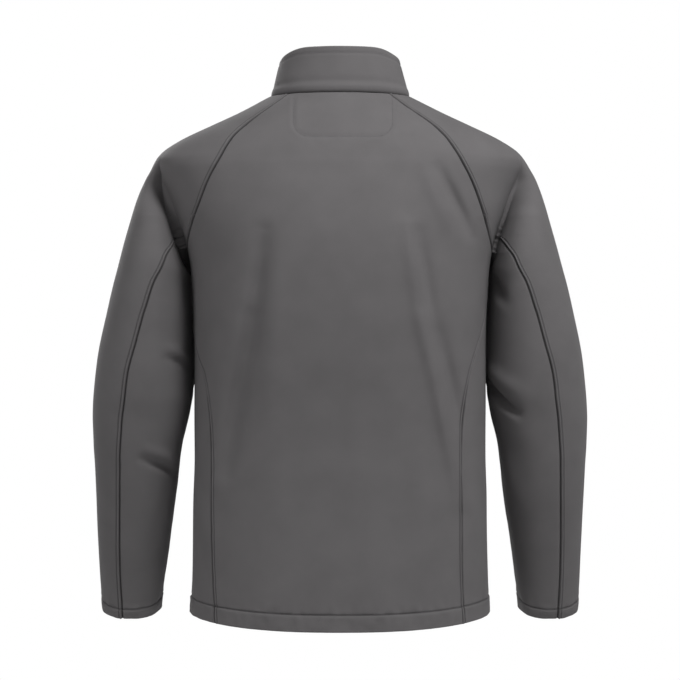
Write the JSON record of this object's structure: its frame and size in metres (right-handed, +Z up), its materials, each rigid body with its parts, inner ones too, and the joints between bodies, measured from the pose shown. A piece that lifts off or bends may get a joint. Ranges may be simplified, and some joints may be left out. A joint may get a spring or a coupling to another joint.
{
  "type": "softshell jacket",
  "caption": "Plain softshell jacket with raglan sleeves, side panels, a stand-up collar, turned hems and a full front zip, hollow and filled out as worn.",
  "frame": {"origin": "middle of the neck base, level with the collar seam at the centre back, where the wearer's shoulders hold the jacket up", "axes": "+Z up along the body, the front with its zip faces -Y, the back faces +Y, the wearer's left is +X"},
  "size_m": [0.6696, 0.302, 0.7663],
  "materials": {
    "shell": "matt charcoal bonded stretch woven polyester",
    "zip_tape": "woven polyester tape",
    "zip_coil": "moulded coil",
    "zip_metal": "satin dark lacquer on die-cast zinc"
  },
  "bodies": {
    "jacket": {"back": "shell", "side_left": "shell", "side_right": "shell", "front_left": "shell", "front_right": "shell", "sleeve_upper_left": "shell", "sleeve_under_left": "shell", "sleeve_upper_right": "shell", "sleeve_under_right": "shell", "collar": "shell", "zip_tape_left": "zip_tape", "zip_tape_right": "zip_tape", "zip_chain": "zip_coil", "zip_slider": "zip_metal"},
    "zip_pull": {"zip_pull": "zip_metal"}
  },
  "joints": [
    {"name": "pull_swing", "type": "hinge", "parent": "jacket", "child": "zip_pull", "pos_m": [0, -0.08174, -0.0166], "axis": [-1, 0, 0], "range_deg": [0, 150]}
  ]
}
